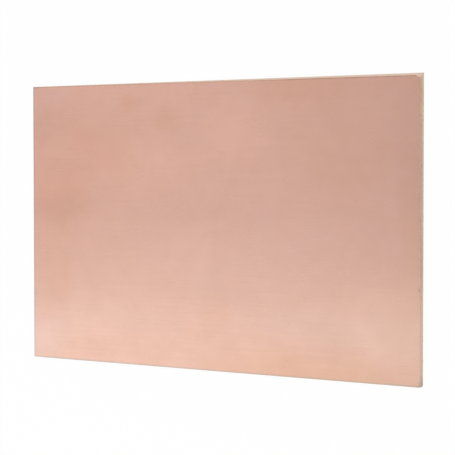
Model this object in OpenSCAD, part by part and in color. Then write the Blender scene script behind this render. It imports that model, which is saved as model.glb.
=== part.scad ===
// Blank copper-clad board: one pressed glass-epoxy panel with copper foil bonded to its upper face.
// It lies flat, copper up: X along the long side, Y along the short side, Z through the thickness.
// The origin is the middle of the back face. Millimetres.

/* [Panel] */
// Length of the long side
board_w = 160; // [80:1:320]
// Length of the short side
board_d = 100; // [60:1:250]
// Thickness of the glass-epoxy core
core_t = 1.565; // [0.765:0.005:3.165]
// Thickness of the copper foil
foil_t = 0.035; // [0.018:0.001:0.105]

/* [Slanted cuts] */
// Set-back of the copper side from the back face at the right end of the far edge
far_slant = 0.85; // [0.2:0.05:1.5]
// Set-back of the copper side at the left end of the far edge
far_slant_end = 0.15; // [0.05:0.05:0.5]
// Set-back of the copper side at the far end of the right edge
right_slant = 0.5; // [0.2:0.05:1]
// Set-back of the copper side at the near end of the right edge
right_slant_end = 0.15; // [0.05:0.05:0.5]
// Height of square edge that a slanted cut leaves above the back face where it is deepest
square_land = 0.1; // [0.05:0.05:0.3]

/* [Knocked corner] */
// Radius of the one blunted corner, near right
corner_r = 0.75; // [0.3:0.05:3]

/* [Chipped copper] */
// How far the copper has chipped back from the right edge
chip_depth = 0.35; // [0.1:0.05:0.6]
// Distance of the first chip's middle from the far edge
chip_1_from_far = 14; // [8:0.5:22]
// Length of the first chip
chip_1_len = 12; // [4:0.5:12]
// Distance of the second chip's middle from the far edge
chip_2_from_far = 41.5; // [32:0.5:46]
// Length of the second chip
chip_2_len = 14; // [4:0.5:14]

/* [Hidden] */

board_t = core_t + foil_t;
right_x = board_w / 2;
far_y = board_d / 2;
corner_fn = 48;
chip_fn = 720;
laminate_colour = [0.84, 0.78, 0.66];
copper_colour = [0.86, 0.66, 0.58];

// Far edge: nearly square at the left corner, and deepest at the right one.
far_cut = [
    [-right_x, far_y - far_slant_end, board_t],
    [right_x, far_y - far_slant, board_t],
    [right_x, far_y, square_land]
];
// Right edge: deepest at the far corner, and nearly square at the near one.
right_cut = [
    [right_x - right_slant, far_y, board_t],
    [right_x - right_slant_end, -far_y, board_t],
    [right_x, far_y, square_land]
];

function unit(v) = v / norm(v);

// X of the copper's right edge at a given Y, before any chip
function copper_edge_x(y) =
    right_x - right_slant_end - (right_slant - right_slant_end) * (y + far_y) / board_d;

// Plan of the panel: square corners, but for the one that was knocked
module outline() {
    difference() {
        square([board_w, board_d], center = true);
        translate([right_x - corner_r, corner_r - far_y])
            difference() {
                translate([0, -2 * corner_r]) square(2 * corner_r);
                circle(r = corner_r, $fn = corner_fn);
            }
    }
}

// Everything on the outer side of the plane through three points: the first two run along the edge,
// clockwise as seen from above, and the third is lower down
module beyond(points) {
    along = unit(points[1] - points[0]);
    out = unit(cross(along, points[2] - points[0]));
    up = cross(out, along);
    reach = board_w + board_d;
    multmatrix([
        [along.x, up.x, out.x, points[0].x],
        [along.y, up.y, out.y, points[0].y],
        [along.z, up.z, out.z, points[0].z],
        [0, 0, 0, 1]
    ])
        translate([-reach, -reach, 0]) cube([2 * reach, 2 * reach, reach]);
}

// The panel between two heights, with the slanted cuts that the core and the foil share
module slab(z_low, z_high) {
    difference() {
        translate([0, 0, z_low]) linear_extrude(z_high - z_low) outline();
        beyond(far_cut);
        beyond(right_cut);
    }
}

// A long shallow bite out of the foil's right edge: the end of a wide circle that reaches chip_depth in
module chip(from_far, len) {
    bite_r = (len * len / 4 + chip_depth * chip_depth) / (2 * chip_depth);
    bite_y = far_y - from_far;
    translate([copper_edge_x(bite_y) - chip_depth + bite_r, bite_y, core_t - foil_t])
        cylinder(r = bite_r, h = 3 * foil_t, $fn = chip_fn);
}

module glass_epoxy_core() {
    color(laminate_colour) slab(0, core_t);
}

module copper_foil() {
    color(copper_colour)
        difference() {
            slab(core_t, board_t);
            chip(chip_1_from_far, chip_1_len);
            chip(chip_2_from_far, chip_2_len);
        }
}

glass_epoxy_core();
copper_foil();
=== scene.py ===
"""Blank copper-clad board: a glass-epoxy panel, copper side up, with its foil, cut edges and bare back.

The foil and the core are two closed shells worked out from one outline. Lengths are metres in the
frame's own axes: X along the long side, Y along the short side, Z out of the copper. The origin is
the middle of the back face.
"""
import math

import bmesh
import bpy
import numpy as np
from mathutils import Matrix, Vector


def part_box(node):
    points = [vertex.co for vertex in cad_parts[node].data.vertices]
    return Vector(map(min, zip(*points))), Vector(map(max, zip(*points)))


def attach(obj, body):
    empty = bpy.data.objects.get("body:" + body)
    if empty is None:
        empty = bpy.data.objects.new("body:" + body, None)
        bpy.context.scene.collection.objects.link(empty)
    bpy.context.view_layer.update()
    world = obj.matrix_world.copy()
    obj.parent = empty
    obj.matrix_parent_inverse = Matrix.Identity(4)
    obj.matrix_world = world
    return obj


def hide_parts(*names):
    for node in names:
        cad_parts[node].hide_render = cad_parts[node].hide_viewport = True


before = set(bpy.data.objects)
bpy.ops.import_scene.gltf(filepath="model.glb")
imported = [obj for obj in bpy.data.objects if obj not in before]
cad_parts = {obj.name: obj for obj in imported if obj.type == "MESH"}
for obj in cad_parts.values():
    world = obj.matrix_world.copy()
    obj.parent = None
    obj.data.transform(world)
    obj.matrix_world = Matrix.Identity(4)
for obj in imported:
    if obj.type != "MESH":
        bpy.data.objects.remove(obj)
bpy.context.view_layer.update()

MM = 0.001

# Sizes from the frame
core_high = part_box("glass_epoxy_core")[1]
foil_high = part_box("copper_foil")[1]
HALF_W = core_high[0]
HALF_D = core_high[1]
CORE_T = core_high[2]
BOARD_T = foil_high[2]
FOIL_T = BOARD_T - CORE_T

# The slanted cuts, the knocked corner and the chips, as the frame has them
FAR_SLANT = 0.85 * MM
FAR_SLANT_END = 0.15 * MM
RIGHT_SLANT = 0.5 * MM
RIGHT_SLANT_END = 0.15 * MM
SQUARE_LAND = 0.1 * MM
CORNER_R = 0.75 * MM
CHIP_DEPTH = 0.35 * MM
# Each chip's middle, counted from the far edge, and its length
CHIPS = ((14.0 * MM, 12.0 * MM), (41.5 * MM, 14.0 * MM))
# The foil's far right corner is torn off: how deep, and how far along both edges
TORN_CORNER = 0.5 * MM
TORN_REACH = 1.6 * MM

# How finely the outline and the cut sides are divided
OUTLINE_STEP = 0.286 * MM
PLIES = 8
LEVELS_PER_PLY = 3
# How far in from the edge each ring of the flat faces lies, in millimetres, the last on the centre line
RIM_RINGS = (0.0, 0.03, 0.08, 0.15, 0.25, 0.4, 0.6, 0.9, 1.3, 1.9, 2.8)
FACE_RINGS = (4.0, 5.5, 7.5, 10.0, 13.0, 16.0, 19.0, 22.0, 25.5, 29.0, 33.0, 37.0, 41.5, 46.0)

# Wear of the cut edges
ROLL_DEPTH = 0.028 * MM
ROLL_WIDTH = 0.34 * MM
FOIL_RAGGED = 0.05 * MM
CUT_ROUGH = 0.014 * MM
PLY_GROOVE = 0.012 * MM
BACK_CRUSH = 0.03 * MM

# Lengths over which the cut edges wander
ROLL_WANDER = 3 * MM
FINE_TEAR = 0.6 * MM
COARSE_TEAR = 5 * MM
CUT_GRAIN = 0.5 * MM
YARN_BUNDLE = 0.75 * MM
# How far in from an edge its set-back and its ragged line still reach
CUT_FADE = 6 * MM
RAGGED_FADE = 1.5 * MM

# Tolerances
ON_EDGE = 1e-9
MERGE_WITHIN = 1e-7
THINNEST = 1e-8
SHARP_ANGLE = math.radians(40)

random = np.random.default_rng(1600)


# Outline and shared shapes

def square_outline():
    """The full rectangle as a closed path, anticlockwise from the near left corner.

    Each side is divided evenly, so opposite sides have the same divisions and the rings can close
    on the centre line.
    """
    across = round(2 * HALF_W / OUTLINE_STEP)
    along = round(2 * HALF_D / OUTLINE_STEP)
    u = np.linspace(-1, 1, across + 1)[:-1]
    v = np.linspace(-1, 1, along + 1)[:-1]
    x = np.concatenate([u, np.ones(along), -u, -np.ones(along)]) * HALF_W
    y = np.concatenate([-np.ones(across), v, np.ones(across), -v]) * HALF_D
    return x, y


def path_length(x, y):
    """Distance run along the closed path at each of its points."""
    steps = np.hypot(np.diff(x, append=x[0]), np.diff(y, append=y[0]))
    return np.concatenate([[0.0], np.cumsum(steps)[:-1]]), steps.sum()


def wander(run, total, wavelength):
    """Smooth noise from -1 to 1 along the closed path: random heights, joined by half cosines."""
    count = max(4, round(total / wavelength))
    heights = random.uniform(-1, 1, count)
    place = run / total * count
    first = np.floor(place).astype(int)
    blend = 0.5 - 0.5 * np.cos(np.pi * (place - first))
    return heights[first % count] * (1 - blend) + heights[(first + 1) % count] * blend


def ring(x, y, inset):
    """The outline drawn in on every side: each axis is scaled until its side has moved by inset."""
    return x * (1 - inset / HALF_W), y * (1 - inset / HALF_D)


def round_corner(x, y):
    """Blunts the near right corner.

    Within the corner square, each square shell round the arc's centre becomes a circle: a point's
    distance from that centre becomes the larger of its two offsets.
    """
    qx = x - (HALF_W - CORNER_R)
    qy = (CORNER_R - HALF_D) - y
    inside = (qx > 0) & (qy > 0)
    reach = np.hypot(qx, qy)
    scale = np.where(inside, np.maximum(qx, qy) / np.where(reach > 0, reach, 1), 1)
    new_x = np.where(inside, HALF_W - CORNER_R + qx * scale, x)
    new_y = np.where(inside, CORNER_R - HALF_D - qy * scale, y)
    return new_x, new_y


def draw_in(x, y, z):
    """Moves the far and right edges in to the slanted cuts at height z.

    Each cut is a plane, so its set-back falls evenly with height and changes evenly along the edge.
    The move fades to nothing over the last few millimetres, so that the points keep their order.
    """
    down = (BOARD_T - z) / (BOARD_T - SQUARE_LAND)
    along_far = (x + HALF_W) / (2 * HALF_W)
    far = FAR_SLANT_END + (FAR_SLANT - FAR_SLANT_END) * along_far
    far = np.maximum(0, far - FAR_SLANT * down)
    along_right = (y + HALF_D) / (2 * HALF_D)
    right = RIGHT_SLANT_END + (RIGHT_SLANT - RIGHT_SLANT_END) * along_right
    right = np.maximum(0, right - RIGHT_SLANT * down)
    near_far = np.clip(1 - (HALF_D - y) / CUT_FADE, 0, 1)
    near_right = np.clip(1 - (HALF_W - x) / CUT_FADE, 0, 1)
    return x - right * near_right, y - far * near_far


def roll(inset):
    """How far the cut pressed the copper side down: a parabola, from the rim to nothing at ROLL_WIDTH."""
    return ROLL_DEPTH * np.clip(1 - inset / ROLL_WIDTH, 0, 1) ** 2


outline_x, outline_y = square_outline()
run, perimeter = path_length(outline_x, outline_y)
on_right = outline_x > HALF_W - ON_EDGE


def roll_shares():
    """The share of ROLL_DEPTH at each outline point: 0.3 to 1, and far less on the right edge.

    The right edge was cut more cleanly, above all its near part.
    """
    shares = 0.65 + 0.35 * wander(run, perimeter, ROLL_WANDER)
    flatter = np.interp(outline_y, (-22 * MM, -12 * MM), (0.08, 0.28))
    return np.where(on_right, shares * flatter, shares)


roll_share = roll_shares()


def closed_shell(name, rings, attributes):
    """A mesh from rings of equal length, each joined to the next by a band of quads.

    The first and last rings lie folded on the centre line, and merging their doubles closes the
    shell. attributes maps a name to one value per point, in the rings' own layout.
    """
    points = np.concatenate(rings)
    count = len(rings[0])
    bands = len(rings) - 1
    i = np.arange(count)
    j = (i + 1) % count
    first = np.arange(bands)[:, None] * count
    quads = np.stack([first + i, first + j, first + count + j, first + count + i], axis=-1)
    mesh = bpy.data.meshes.new(name)
    mesh.vertices.add(len(points))
    mesh.vertices.foreach_set("co", points.astype(np.float32).ravel())
    quads = quads.reshape(-1, 4)
    mesh.loops.add(quads.size)
    mesh.loops.foreach_set("vertex_index", quads.astype(np.int32).ravel())
    mesh.polygons.add(len(quads))
    mesh.polygons.foreach_set("loop_start", np.arange(0, quads.size, 4, dtype=np.int32))
    mesh.update(calc_edges=True)
    for label, values in attributes.items():
        layer = mesh.attributes.new(label, "FLOAT", "POINT")
        layer.data.foreach_set("value", np.concatenate(values).astype(np.float32))
    shell = bmesh.new()
    shell.from_mesh(mesh)
    bmesh.ops.remove_doubles(shell, verts=shell.verts, dist=MERGE_WITHIN)
    bmesh.ops.dissolve_degenerate(shell, edges=shell.edges, dist=THINNEST)
    bmesh.ops.recalc_face_normals(shell, faces=shell.faces)
    shell.to_mesh(mesh)
    shell.free()
    mesh.polygons.foreach_set("use_smooth", np.ones(len(mesh.polygons), dtype=bool))
    mesh.set_sharp_from_angle(angle=SHARP_ANGLE)
    mesh.validate()
    piece = bpy.data.objects.new(name, mesh)
    bpy.context.collection.objects.link(piece)
    return piece


def stack(x, y, z):
    """One ring's points from its coordinates, z being one height or one per point."""
    return np.stack([x, y, np.broadcast_to(z, x.shape)], axis=-1)


# Copper foil

def chipped_inset():
    """How far the foil's rim is set back from the core's at each outline point.

    A ragged line everywhere, at each chip on the right edge a shallow circular bite with a torn
    edge, and a deeper one at the far right corner. A bite's depth falls off as the square of the
    distance from its middle.
    """
    fine = wander(run, perimeter, FINE_TEAR)
    coarse = wander(run, perimeter, COARSE_TEAR)
    back = FOIL_RAGGED * (0.35 + 0.3 * fine + 0.3 * coarse)
    for from_far, length in CHIPS:
        away = (outline_y - (HALF_D - from_far)) / (length / 2)
        bite = CHIP_DEPTH * np.clip(1 - away ** 2, 0, 1)
        torn = np.clip(bite * 1.5 / CHIP_DEPTH, 0, 1) * FOIL_RAGGED
        back = back + on_right * (bite + torn * (fine - 0.5))
    from_corner = np.hypot(outline_x - HALF_W, outline_y - HALF_D) / TORN_REACH
    back = back + TORN_CORNER * np.clip(1 - from_corner ** 2, 0, 1)
    return np.clip(back, 0.01 * MM, None)


def foil_shell():
    """The foil: its top from the centre line out to the rim, its torn edge, and its underside back in."""
    back = chipped_inset()
    rings, insets = [], []

    def face_ring(nominal, base):
        inset = nominal + back * np.exp(-nominal / RAGGED_FADE) * (nominal < HALF_D - 1e-6)
        x, y = ring(outline_x, outline_y, inset)
        x, y = round_corner(x, y)
        x, y = draw_in(x, y, base)
        rings.append(stack(x, y, base - roll(inset) * roll_share))
        insets.append(inset / MM)

    tops = [d * MM for d in (*RIM_RINGS, *FACE_RINGS)] + [HALF_D]
    for nominal in reversed(tops):
        face_ring(nominal, BOARD_T)
    face_ring(0.0, BOARD_T - 0.3 * FOIL_T)
    face_ring(0.0, BOARD_T - 0.65 * FOIL_T)
    for nominal in (*(d * MM for d in RIM_RINGS[:8]), 5 * MM, HALF_D):
        face_ring(nominal, CORE_T)
    return closed_shell("copper_foil_sheet", rings, {"edge_mm": insets})


# Glass-epoxy core

def core_shell():
    """The core: its back from the centre line out, its cut side up through the plies, and its top in.

    cut_face is 1 on the sides and on the top, where the laminate shows as cut, and 0 on the back
    but for its outermost rim.
    """
    rings, insets, cut = [], [], []

    def add(x, y, z, inset, on_cut):
        rings.append(stack(x, y, z))
        insets.append(np.broadcast_to(inset / MM, x.shape))
        cut.append(np.full(x.shape, float(on_cut)))

    backs = [d * MM for d in (*RIM_RINGS[2:], *FACE_RINGS[::2])] + [HALF_D]
    for nominal in reversed(backs):
        x, y = ring(outline_x, outline_y, nominal + BACK_CRUSH)
        if nominal == HALF_D:
            x, y = ring(outline_x, outline_y, HALF_D)
        x, y = draw_in(*round_corner(x, y), 0.0)
        add(x, y, 0.0, nominal, nominal < 0.1 * MM)
    levels = PLIES * LEVELS_PER_PLY
    top = CORE_T - roll(0.0) * roll_share
    bundle = wander(run, perimeter, YARN_BUNDLE)
    for level in range(levels + 1):
        share = level / levels
        groove = PLY_GROOVE * (0.5 + 0.5 * math.cos(2 * math.pi * PLIES * share))
        rough = CUT_ROUGH * (1 + 0.6 * wander(run, perimeter, CUT_GRAIN) + 0.4 * bundle)
        z = BACK_CRUSH + (top - BACK_CRUSH) * share
        inset = np.clip(groove + rough, 0, None) * (0.4 if level == levels else 1)
        x, y = ring(outline_x, outline_y, inset)
        x, y = draw_in(*round_corner(x, y), z)
        add(x, y, z, np.zeros_like(x), True)
    for nominal in (*(d * MM for d in RIM_RINGS[1:8]), 5 * MM, HALF_D):
        x, y = ring(outline_x, outline_y, nominal)
        x, y = draw_in(*round_corner(x, y), CORE_T)
        add(x, y, CORE_T - roll(nominal) * roll_share, nominal, True)
    return closed_shell("glass_epoxy_panel", rings, {"edge_mm": insets, "cut_face": cut})


# Materials

# Pitch of the glass cloth's yarns along X and Y, in mm
YARN_PITCH = (0.58, 0.83)


class Nodes:
    """The node tree of a material or a world.

    Each call adds nodes, links its inputs and returns the output.
    """

    def __init__(self, owner, shader="Principled BSDF"):
        owner.use_nodes = True
        self.owner = owner
        self.tree = owner.node_tree
        self.shader = self.tree.nodes[shader]

    def put(self, socket, value):
        if isinstance(value, bpy.types.NodeSocket):
            self.tree.links.new(value, socket)
        else:
            socket.default_value = value

    def node(self, kind, inputs=(), **settings):
        made = self.tree.nodes.new(kind)
        for key, value in settings.items():
            setattr(made, key, value)
        for key, value in dict(inputs).items():
            self.put(made.inputs[key], value)
        return made

    def place(self):
        """The point on the board, in metres."""
        return self.node("ShaderNodeTexCoord").outputs["Object"]

    def axes(self, vector):
        """The three parts of a vector."""
        return self.node("ShaderNodeSeparateXYZ", {"Vector": vector}).outputs

    def attribute(self, label):
        return self.node("ShaderNodeAttribute", attribute_name=label).outputs["Fac"]

    def scaled(self, vector, scale, shift=(0, 0, 0)):
        """The vector times scale, part by part, plus shift."""
        made = self.node("ShaderNodeVectorMath", operation="MULTIPLY_ADD")
        for socket, value in zip(made.inputs, (vector, scale, shift), strict=False):
            self.put(socket, value)
        return made.outputs[0]

    def cells(self, vector, along, across, deep=None):
        """The place scaled so that one unit is along mm in X, across mm in Y and deep mm in Z."""
        deep = across if deep is None else deep
        return self.scaled(vector, (1 / (along * MM), 1 / (across * MM), 1 / (deep * MM)))

    def noise(self, vector, detail=2.0, rough=0.5):
        inputs = {"Vector": vector, "Scale": 1.0, "Detail": detail, "Roughness": rough}
        return self.node("ShaderNodeTexNoise", inputs).outputs["Fac"]

    def warped(self, vector, size, reach):
        """The place pushed about by up to half of reach, in mm, by noise whose lumps are size mm wide."""
        cells = self.cells(vector, size, size)
        made = self.node("ShaderNodeTexNoise", {"Vector": cells, "Scale": 1.0, "Detail": 2.0})
        centred = self.scaled(made.outputs["Color"], (1, 1, 1), (-0.5, -0.5, -0.5))
        return self.scaled(centred, (reach * MM, reach * MM, 0), vector)

    def math(self, operation, *values, clamp=False):
        made = self.node("ShaderNodeMath", operation=operation, use_clamp=clamp)
        for socket, value in zip(made.inputs, values, strict=False):
            self.put(socket, value)
        return made.outputs[0]

    def total(self, values):
        """The sum of several values."""
        result = values[0]
        for value in values[1:]:
            result = self.math("ADD", result, value)
        return result

    def ramp(self, value, low, high, to_low=0.0, to_high=1.0):
        """A smooth step: to_low where value is at or under low, to_high where it is at or over high."""
        made = self.node(
            "ShaderNodeMapRange",
            {"Value": value, "From Min": low, "From Max": high, "To Min": to_low, "To Max": to_high},
            interpolation_type="SMOOTHSTEP",
        )
        return made.outputs["Result"]

    def blend(self, share, first, second, mode="MIX"):
        """Two colours mixed: first where share is 0, and second, or their product, where it is 1."""
        made = self.node("ShaderNodeMix", data_type="RGBA", blend_type=mode)
        self.put(made.inputs[0], share)
        self.put(made.inputs[6], first)
        self.put(made.inputs[7], second)
        return made.outputs[2]

    def wave(self, value, pitch):
        """A wave from 0 to 1 that repeats every pitch mm of value, itself in metres."""
        turn = self.math("MULTIPLY", value, 2 * math.pi / (pitch * MM))
        return self.math("MULTIPLY_ADD", self.math("COSINE", turn), 0.5, 0.5)

    def bump(self, height, distance, strength=1.0, under=None):
        """A normal bent by height, where a height of 1 stands distance metres proud."""
        inputs = {"Height": height, "Distance": distance, "Strength": strength}
        if under is not None:
            inputs["Normal"] = under
        return self.node("ShaderNodeBump", inputs).outputs["Normal"]

    def patches(self, vector, table):
        """The sum of soft oval patches, each full at its middle and fading to nothing at its edge.

        table has one row a patch: x and y of the middle, half-lengths along X and Y in mm, and strength.
        """
        shares = []
        for x, y, half_x, half_y, strength in table:
            size = (1 / (half_x * MM), 1 / (half_y * MM), 0)
            away = self.scaled(vector, size, (-x / half_x, -y / half_y, 0))
            reach = self.node("ShaderNodeVectorMath", {0: away}, operation="LENGTH").outputs["Value"]
            shares.append(self.ramp(reach, 0.0, 1.0, strength, 0.0))
        return self.total(shares)


def colour(red, green, blue):
    """A linear colour, opaque."""
    return (red, green, blue, 1.0)


# Where the copper has darkened to a warm brown: middle x and y, half-lengths along X and Y (mm), strength
TARNISH = (
    (-70, 8, 26, 20, 1.0),
    (-55, 26, 40, 26, 1.0),
    (-70, -15, 16, 20, 0.5),
    (-20, 36, 10, 8, 1.0),
    (-35, 43, 8, 6, 1.0),
    (35, 48, 30, 12, 1.0),
    (45, 24, 25, 22, 0.5),
    (65, 24, 7, 7, 0.5),
    (0, -30, 12, 10, 0.5),
    (40, -50, 65, 15, 1.5),
    (80, 0, 10, 35, 0.5),
    (78, 46, 10, 8, 0.5),
)
# Where it is cleaner and pinker than the rest; the long bands across the near third also paint in the
# paler tone of the softbox's highlight there
CLEAN_AND_PAINTED_HIGHLIGHT = (
    (-75, -42, 16, 12, 1.5),
    (-50, -34, 50, 12, 0.5),
    (45, -32, 50, 10, 0.5),
    (10, -10, 75, 35, 0.5),
    (-72, 47, 20, 6, 0.5),
)
# Where a grey film dulls it
DULL = (
    (-75, 36, 20, 10, 2.0),
    (-65, 6, 25, 10, 2.0),
    (0, 5, 75, 12, 1.0),
    (80, 25, 16, 30, 1.0),
    (0, -22, 40, 10, 1.0),
    (-72, -25, 15, 8, 1.0),
    (-72, 45, 22, 10, 1.0),
)
# Where rubbing has brightened it
RUBBED = (
    (70, -30, 25, 20, 2.5),
    (-30, 22, 30, 12, 1.5),
    (10, 32, 22, 16, 2.0),
)
# Small dark marks
MARKS = (
    (79.6, -49.6, 1.9, 1.3, 0.3),
    (79.8, -19, 1.2, 1.4, 0.6),
)
# Strengths at the two ends of each mix
CLEANEST, WARMEST = 1.5, 3.0
CLEAREST, DULLEST = 1.5, 3.0
COPPER_CLEAN = (0.80, 0.50, 0.43)
COPPER_TARNISHED = (0.73, 0.38, 0.25)
DULL_SHADE = (0.87, 0.87, 0.87)
SPECK_SHADE = (0.62, 0.50, 0.42)
# Painted shade along the far rim, standing in for the rolled-over foil edge mirroring darker surroundings
FAR_RIM_PAINTED_SHADE = (0.70, 0.68, 0.64)
# Greyer painted shade along the near and left rims, for the same rolled-over edge
GREY_RIM_PAINTED_SHADE = (0.82, 0.96, 1.02)


def copper_material():
    """Bare satin foil with soft patches of tarnish, bands and fine rolling lines, specks and painted rim
    shade.

    Tarnish and clean copper are the two ends of one mix, and the clean end also holds a painted
    highlight across the near third. A grey film, painted shade along the rims and the specks are
    multiplied over it.
    """
    n = Nodes(bpy.data.materials.new("bare_copper"))
    place = n.place()
    warped = n.warped(n.warped(place, 24, 9), 6, 3)
    clouds = n.noise(n.cells(place, 9, 7), detail=3.0, rough=0.6)
    bands = n.noise(n.cells(place, 70, 3.2), detail=2.0)
    lines = n.noise(n.cells(place, 26, 0.22), detail=2.0, rough=0.6)

    # Clean copper, and across the near third a painted highlight, take away from the tarnish
    warm = n.math("SUBTRACT", n.patches(warped, TARNISH), n.patches(warped, CLEAN_AND_PAINTED_HIGHLIGHT))
    warm = n.math("ADD", warm, n.ramp(clouds, 0.25, 0.75, -0.22, 0.22))
    share = n.math("DIVIDE", n.math("ADD", warm, CLEANEST), CLEANEST + WARMEST, clamp=True)
    base = n.blend(share, colour(*COPPER_CLEAN), colour(*COPPER_TARNISHED))

    film = n.total([
        n.math("SUBTRACT", n.patches(warped, DULL), n.patches(warped, RUBBED)),
        n.ramp(n.noise(n.cells(place, 5, 4.5), detail=3.0, rough=0.55), 0.25, 0.75, -0.35, 0.35),
        n.ramp(bands, 0.25, 0.75, -0.18, 0.18),
        n.ramp(lines, 0.2, 0.8, -0.3, 0.3),
    ])
    share = n.math("DIVIDE", n.math("ADD", film, CLEAREST), CLEAREST + DULLEST, clamp=True)
    base = n.blend(share, base, colour(*DULL_SHADE), "MULTIPLY")

    pushed = n.warped(place, 0.35, 0.3)
    specks = n.node("ShaderNodeTexVoronoi", {"Vector": n.cells(pushed, 2.6, 2.6), "Scale": 1.0})
    speck = n.ramp(specks.outputs["Distance"], 0.03, 0.07, 1.0, 0.0)
    chosen = n.ramp(n.axes(specks.outputs["Color"])[0], 0.72, 0.74)
    speck = n.math("MULTIPLY", speck, chosen)
    base = n.blend(n.math("MULTIPLY", speck, 0.5), base, colour(*SPECK_SHADE), "MULTIPLY")

    x, y = n.axes(place)[0:2]
    ragged = n.ramp(n.noise(n.cells(place, 1.6, 1.6), detail=3.0), 0.3, 0.7, 0.12, -0.10)
    # Painted shade: a darker band along the far rim, for the rolled-over edge mirroring darker
    # surroundings
    rim = n.ramp(n.math("ADD", n.attribute("edge_mm"), ragged), 0.12, 0.45, 1.0, 0.0)
    far = n.ramp(y, HALF_D - 3 * MM, HALF_D - 2 * MM)
    far = n.math("MULTIPLY", far, n.ramp(x, 15 * MM, 45 * MM, 0.35, 1.0))
    base = n.blend(n.math("MULTIPLY", rim, far), base, colour(*FAR_RIM_PAINTED_SHADE), "MULTIPLY")
    # Painted shade: a greyer line along the near and left rims, for the rolled-over edge mirroring darker
    # surroundings
    near = n.ramp(y, 3 * MM - HALF_D, 2 * MM - HALF_D)
    left = n.ramp(x, 3 * MM - HALF_W, 2 * MM - HALF_W)
    near_left_painted_shade = n.ramp(n.math("ADD", n.attribute("edge_mm"), ragged), 0.3, 0.85, 1.0, 0.0)
    near_left_painted_shade = n.math("MULTIPLY", near_left_painted_shade, n.math("MAXIMUM", near, left))
    base = n.blend(near_left_painted_shade, base, colour(*GREY_RIM_PAINTED_SHADE), "MULTIPLY")
    marks = n.patches(n.warped(place, 1.5, 1), MARKS)
    base = n.blend(marks, base, colour(*SPECK_SHADE), "MULTIPLY")
    n.put(n.shader.inputs["Base Color"], base)

    n.shader.inputs["Metallic"].default_value = 1.0
    smudges = n.noise(n.cells(warped, 13, 11), detail=4.0, rough=0.65)
    rough = n.total([
        n.ramp(smudges, 0.3, 0.7, 0.235, 0.27),
        n.ramp(lines, 0.2, 0.8, -0.015, 0.015),
        n.math("MULTIPLY", speck, 0.1),
        n.math("MULTIPLY", rim, 0.10),
    ])
    n.put(n.shader.inputs["Roughness"], rough)
    weave = n.math("MULTIPLY", n.wave(x, YARN_PITCH[0]), n.wave(y, YARN_PITCH[1]))
    normal = n.bump(weave, 0.0004 * MM)
    normal = n.bump(lines, 0.002 * MM, under=normal)
    normal = n.bump(n.noise(n.cells(place, 14, 14), detail=1.0), 0.012 * MM, under=normal)
    n.put(n.shader.inputs["Normal"], normal)
    return n.owner


# Colours of the laminate. A shade is multiplied over another colour
CUT_UPPER = (0.565, 0.400, 0.285)
CUT_LOWER = (0.645, 0.520, 0.415)
GLASS_SHADE = (1.12, 1.15, 1.18)
RESIN_SHADE = (0.82, 0.78, 0.72)
# Painted light on the far cut side, for the tent's light falling on it from above
FAR_SIDE_PAINTED_LIGHT = (0.825, 0.60, 0.47)
BROWN_SHADE = (0.93, 0.81, 0.82)
CLEAN_CUT = (1.12, 1.13, 1.17)
BACK_YARN = (0.66, 0.60, 0.41)
BACK_RESIN = (0.58, 0.53, 0.33)
BACK_TINT = (0.66, 0.55, 0.38)
STREAK_SHADE = (0.93, 0.925, 0.90)
FLECK_SHADE = (0.80, 0.77, 0.74)
ARRIS_SHADE = (0.75, 0.66, 0.55)
# Stretches of the right side that are browner: middle x and y, half-lengths (mm), strength
BROWN_STRETCHES = (
    (80, 19, 4, 27, 0.55),
    (80, -9, 4, 14, 0.7),
    (80, 43, 4, 5, 0.6),
    (80, -49, 3, 4, 0.8),
)
# The knocked corner's bruise, written the same way
BRUISE = ((80, -49, 2.4, 3.8, 1.0),)
BRUISE_SHADE = (0.70, 0.70, 0.71)


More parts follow.
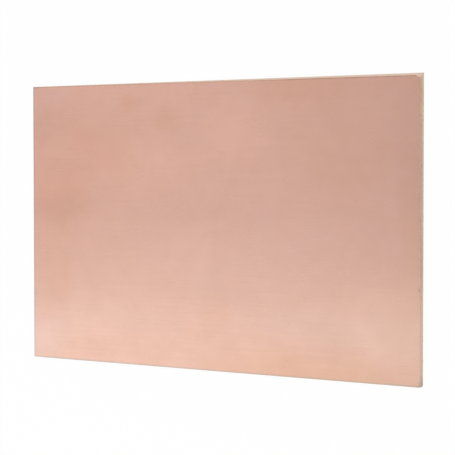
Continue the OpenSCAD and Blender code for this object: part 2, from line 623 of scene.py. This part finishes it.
def laminate_material():
    """Cured glass-epoxy: on the sides, plies with cut yarns, and on the back, cloth under clear resin.

    A ply line is a wave over height. Patches, flecks and stains are multiplied over a colour that
    goes from the sides' lower part to their upper part. The far cut side is painted lighter, in a
    mottled band, for the light that falls on it.
    """
    n = Nodes(bpy.data.materials.new("glass_epoxy"))
    place = n.place()
    x, y, z = n.axes(place)[0:3]
    cut = n.attribute("cut_face")

    plies = n.wave(z, CORE_T / MM / PLIES)
    ragged = n.noise(n.cells(place, 0.5, 0.5, 0.12), detail=3.0, rough=0.6)
    frayed = n.math("MULTIPLY", ragged, 0.3 * MM)
    across = n.wave(n.math("ADD", x, frayed), YARN_PITCH[0])
    along = n.wave(n.math("ADD", y, frayed), YARN_PITCH[1])
    ends = n.math("MULTIPLY", across, along)
    patches = n.noise(n.cells(place, 3.5, 3.5, 1.5), detail=3.0)
    height = n.math("ADD", z, n.math("MULTIPLY", patches, 0.4 * MM))
    side = n.blend(n.ramp(height, 0.45 * MM, 1.35 * MM), colour(*CUT_LOWER), colour(*CUT_UPPER))
    glass = n.math("MULTIPLY_ADD", n.ramp(patches, 0.3, 0.7), 0.5, n.math("MULTIPLY", ends, 0.5))
    side = n.blend(glass, side, colour(*GLASS_SHADE), "MULTIPLY")
    resin = n.math("MULTIPLY", n.ramp(plies, 0.55, 0.95), n.ramp(ragged, 0.35, 0.6, 0.25, 0.9))
    resin = n.math("MULTIPLY", resin, n.ramp(z, CORE_T - 0.1 * MM, CORE_T - 0.05 * MM, 1.0, 0.0))
    side = n.blend(resin, side, colour(*RESIN_SHADE), "MULTIPLY")
    # Painted light: the far cut side, slanted up to the tent, is mixed towards a lighter colour in a
    # mottled band
    far = n.ramp(y, HALF_D - 1.6 * MM, HALF_D - 1.0 * MM)
    far = n.math("MULTIPLY", far, n.ramp(x, HALF_W, HALF_W - 0.6 * MM))
    far_side_painted_light = n.math("MULTIPLY", far, n.ramp(ragged, 0.2, 0.7, 0.7, 1.0))
    side = n.blend(far_side_painted_light, side, colour(*FAR_SIDE_PAINTED_LIGHT))
    stretches = n.patches(n.warped(place, 5, 4), BROWN_STRETCHES)
    brown = n.math("MULTIPLY", stretches, n.ramp(x, 0, HALF_W), clamp=True)
    brown = n.math("MULTIPLY", brown, n.ramp(height, 0.5 * MM, 1.0 * MM, 0.2, 1.0))
    side = n.blend(brown, side, colour(*BROWN_SHADE), "MULTIPLY")
    low = n.ramp(height, 0.6 * MM, 1.2 * MM, 1.0, 0.4)
    bruise = n.math("MULTIPLY", n.patches(place, BRUISE), low, clamp=True)
    side = n.blend(bruise, side, colour(*BRUISE_SHADE), "MULTIPLY")
    side = n.blend(n.ramp(y, -12 * MM, -26 * MM), side, colour(*CLEAN_CUT), "MULTIPLY")
    flecks = n.noise(n.cells(place, 1.7, 1.7, 0.7), detail=3.0, rough=0.6)
    flecks = n.math("MULTIPLY", n.ramp(flecks, 0.54, 0.66, 0.0, 0.8), n.math("SUBTRACT", 1.0, far))
    side = n.blend(flecks, side, colour(*FLECK_SHADE), "MULTIPLY")
    arris = n.ramp(z, 0.05 * MM, 0.4 * MM, 0.45, 0.0)
    side = n.blend(arris, side, colour(*ARRIS_SHADE), "MULTIPLY")

    yarns = n.math("MAXIMUM", n.wave(x, YARN_PITCH[0]), n.wave(y, YARN_PITCH[1]))
    over = n.math("MULTIPLY", n.wave(x, 2 * YARN_PITCH[0]), n.wave(y, 2 * YARN_PITCH[1]))
    cloth = n.math("MULTIPLY_ADD", over, 0.5, n.math("MULTIPLY", yarns, 0.5))
    tint = n.noise(n.cells(place, 22, 17), detail=3.0)
    back = n.blend(n.ramp(cloth, 0.1, 0.9), colour(*BACK_RESIN), colour(*BACK_YARN))
    back = n.blend(n.ramp(tint, 0.3, 0.7, 0.0, 0.45), back, colour(*BACK_TINT))
    warp = n.noise(n.cells(place, 110, 1.1), detail=2.0)
    weft = n.noise(n.cells(place, 1.5, 110), detail=2.0)
    streaks = n.ramp(n.math("ADD", warp, weft), 0.7, 1.3)
    back = n.blend(streaks, back, colour(*STREAK_SHADE), "MULTIPLY")
    n.put(n.shader.inputs["Base Color"], n.blend(cut, back, side))
    rough = n.math("ADD", n.ramp(cut, 0, 1, 0.3, 0.72), n.ramp(tint, 0.3, 0.7, 0.0, 0.08))
    n.put(n.shader.inputs["Roughness"], rough)
    normal = n.bump(cloth, 0.006 * MM, strength=0.6)
    normal = n.bump(n.math("MULTIPLY", ragged, cut), 0.03 * MM, under=normal)
    n.put(n.shader.inputs["Normal"], normal)
    return n.owner


# The board

foil = foil_shell()
foil.data.materials.append(copper_material())
core = core_shell()
core.data.materials.append(laminate_material())

for piece, node, slot in (
    (foil, "copper_foil", "copper"),
    (core, "glass_epoxy_core", "laminate"),
):
    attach(piece, "root")
    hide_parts(node)


# Studio: camera, floor, tent and softbox

FLOOR_HALF = 3.0
FLOOR_GAP = 0.02 * MM
# How far the floor reaches in under the board's edge
FLOOR_LAP = 0.25 * MM
FLOOR_COLOUR = (0.94, 0.94, 0.94)
FLOOR_ROUGHNESS = 0.9
# The share of white that the floor gives by itself to the camera and to mirrors
FLOOR_LIFT = 0.95
# The tent's brightness at some values of a direction's X, and the Z over which it takes over from white
TENT = ((-0.95, 0.5), (-0.6, 1.0), (-0.25, 0.4), (0.1, 1.0))
HORIZON = (0.14, 0.40)

# The softbox stands 400 mm off in this direction, where the copper mirrors it to the camera, and its far
# edge gives the bright near third. It is three lamps with staggered edges, which make that edge soft
MIRROR = np.array([-0.56, -0.09, 0.82])
SOFTBOX = (0.6, 0.45)
SOFTBOX_OFF = 0.4
LAMP_GAP = 1 * MM
SOFTBOX_TINT = (0.8, 1.1, 1.05)
# How far each lamp's edge is let down, in metres, and its brightness
LAMPS = ((-0.01, 0.05), (0.01, 0.1), (0.025, 0.25))

CAMERA_PLACE = (0.31631, 0.01913, 0.46682)
CAMERA_TURN = math.radians(33.68)
CAMERA_TILT = math.radians(2.0)
CAMERA_ROLL = math.radians(-0.04)
FOCAL_PX = 1638.0
PICTURE_PX = 455.0
SENSOR = 36.0


def unit(vector):
    """The vector brought to a length of 1."""
    return vector / np.linalg.norm(vector)


def facing(back):
    """The right and up axes that go with a back axis: right is square to it and to +Y."""
    right = unit(np.cross([0.0, 1.0, 0.0], back))
    return right, np.cross(back, right)


def add_camera():
    """A pinhole at the photograph's place, turned towards +X and a little towards +Y.

    Its back axis comes from the two turns, and the roll turns the other two axes about it.
    """
    back = np.array(
        [
            math.sin(CAMERA_TURN) * math.cos(CAMERA_TILT),
            math.sin(CAMERA_TILT),
            math.cos(CAMERA_TURN) * math.cos(CAMERA_TILT),
        ]
    )
    right, up = facing(back)
    c, s = math.cos(CAMERA_ROLL), math.sin(CAMERA_ROLL)
    axes = Matrix([c * right + s * up, c * up - s * right, back]).transposed()
    data = bpy.data.cameras.new("camera")
    data.sensor_width = SENSOR
    data.lens = SENSOR * FOCAL_PX / PICTURE_PX
    data.clip_start = 0.01
    camera = bpy.data.objects.new("camera", data)
    camera.matrix_world = Matrix.Translation(CAMERA_PLACE) @ axes.to_4x4()
    bpy.context.collection.objects.link(camera)
    bpy.context.scene.camera = camera


def add_floor():
    """A pale floor just under the board, open from below: white to the camera, less the board's shadow.

    It is cut out under the board, where nothing sees it, so that light reaches the back from below.
    """
    turns = np.array([(-1, -1), (1, -1), (1, 1), (-1, 1)])
    outer = FLOOR_HALF * turns
    inner = np.array([HALF_W - FLOOR_LAP, HALF_D - FLOOR_LAP]) * turns
    corners = np.concatenate([outer, inner])
    corners = np.column_stack([corners, np.full(len(corners), -FLOOR_GAP)])
    mesh = bpy.data.meshes.new("floor")
    mesh.from_pydata(corners.tolist(), [], [(0, 1, 5, 4), (1, 2, 6, 5), (2, 3, 7, 6), (3, 0, 4, 7)])
    floor = bpy.data.objects.new("floor", mesh)
    bpy.context.collection.objects.link(floor)
    n = Nodes(bpy.data.materials.new("pale_floor"))
    n.shader.inputs["Base Color"].default_value = colour(*FLOOR_COLOUR)
    n.shader.inputs["Roughness"].default_value = FLOOR_ROUGHNESS
    n.shader.inputs["Specular IOR Level"].default_value = 0.0
    white = n.node("ShaderNodeEmission", {"Color": colour(1, 1, 1), "Strength": 1.0})
    path = n.node("ShaderNodeLightPath")
    kinds = ("Is Camera Ray", "Is Glossy Ray", "Is Transmission Ray")
    seen = n.total([path.outputs[kind] for kind in kinds])
    lift = n.math("MULTIPLY", seen, FLOOR_LIFT, clamp=True)
    lifted = n.node("ShaderNodeMixShader")
    n.put(lifted.inputs[0], lift)
    n.put(lifted.inputs[1], n.shader.outputs[0])
    n.put(lifted.inputs[2], white.outputs[0])
    clear = n.node("ShaderNodeBsdfTransparent")
    under = n.node("ShaderNodeMixShader")
    n.put(under.inputs[0], n.node("ShaderNodeNewGeometry").outputs["Backfacing"])
    n.put(under.inputs[1], lifted.outputs[0])
    n.put(under.inputs[2], clear.outputs[0])
    n.put(n.tree.nodes["Material Output"].inputs["Surface"], under.outputs[0])
    mesh.materials.append(n.owner)


def add_tent():
    """A white tent with two darker zones towards -X, which the copper mirrors to the camera.

    TENT holds its brightness at some values of a direction's X, from the far left, -1, to the far
    right, 1, and each pair is joined by a smooth step. Up to HORIZON, as a direction's Z, the tent
    is plain white.
    """
    world = bpy.data.worlds.new("tent")
    bpy.context.scene.world = world
    n = Nodes(world, "Background")
    x, _, z = n.axes(n.node("ShaderNodeTexCoord").outputs["Generated"])
    steps = [
        n.ramp(x, from_x, to_x, 0.0, to_level - from_level)
        for (from_x, from_level), (to_x, to_level) in zip(TENT, TENT[1:], strict=False)
    ]
    off_white = n.math("ADD", n.total(steps), TENT[0][1] - 1)
    level = n.math("MULTIPLY_ADD", n.ramp(z, *HORIZON), off_white, 1.0)
    n.put(n.shader.inputs["Color"], colour(1, 1, 1))
    n.put(n.shader.inputs["Strength"], level)


def add_softbox(name, place, back, size, radiance, tint):
    """A flat lamp that shines against the direction back, its power being radiance times pi times area."""
    data = bpy.data.lights.new(name, "AREA")
    data.shape = "RECTANGLE"
    data.size, data.size_y = size
    data.energy = radiance * math.pi * size[0] * size[1]
    data.color = tint
    lamp = bpy.data.objects.new(name, data)
    axes = Matrix([*facing(back), back]).transposed()
    lamp.matrix_world = Matrix.Translation(place) @ axes.to_4x4()
    lamp.visible_camera = False
    bpy.context.collection.objects.link(lamp)


add_camera()
add_floor()
add_tent()
towards = unit(MIRROR)
softbox_up = facing(towards)[1]
for number, (drop, level) in enumerate(LAMPS, 1):
    centre = towards * (SOFTBOX_OFF + LAMP_GAP * number) - softbox_up * (drop + SOFTBOX[1] / 2)
    add_softbox(f"near_softbox_{number}", centre, towards, SOFTBOX, level, SOFTBOX_TINT)

bpy.context.scene.view_settings.view_transform = "Standard"
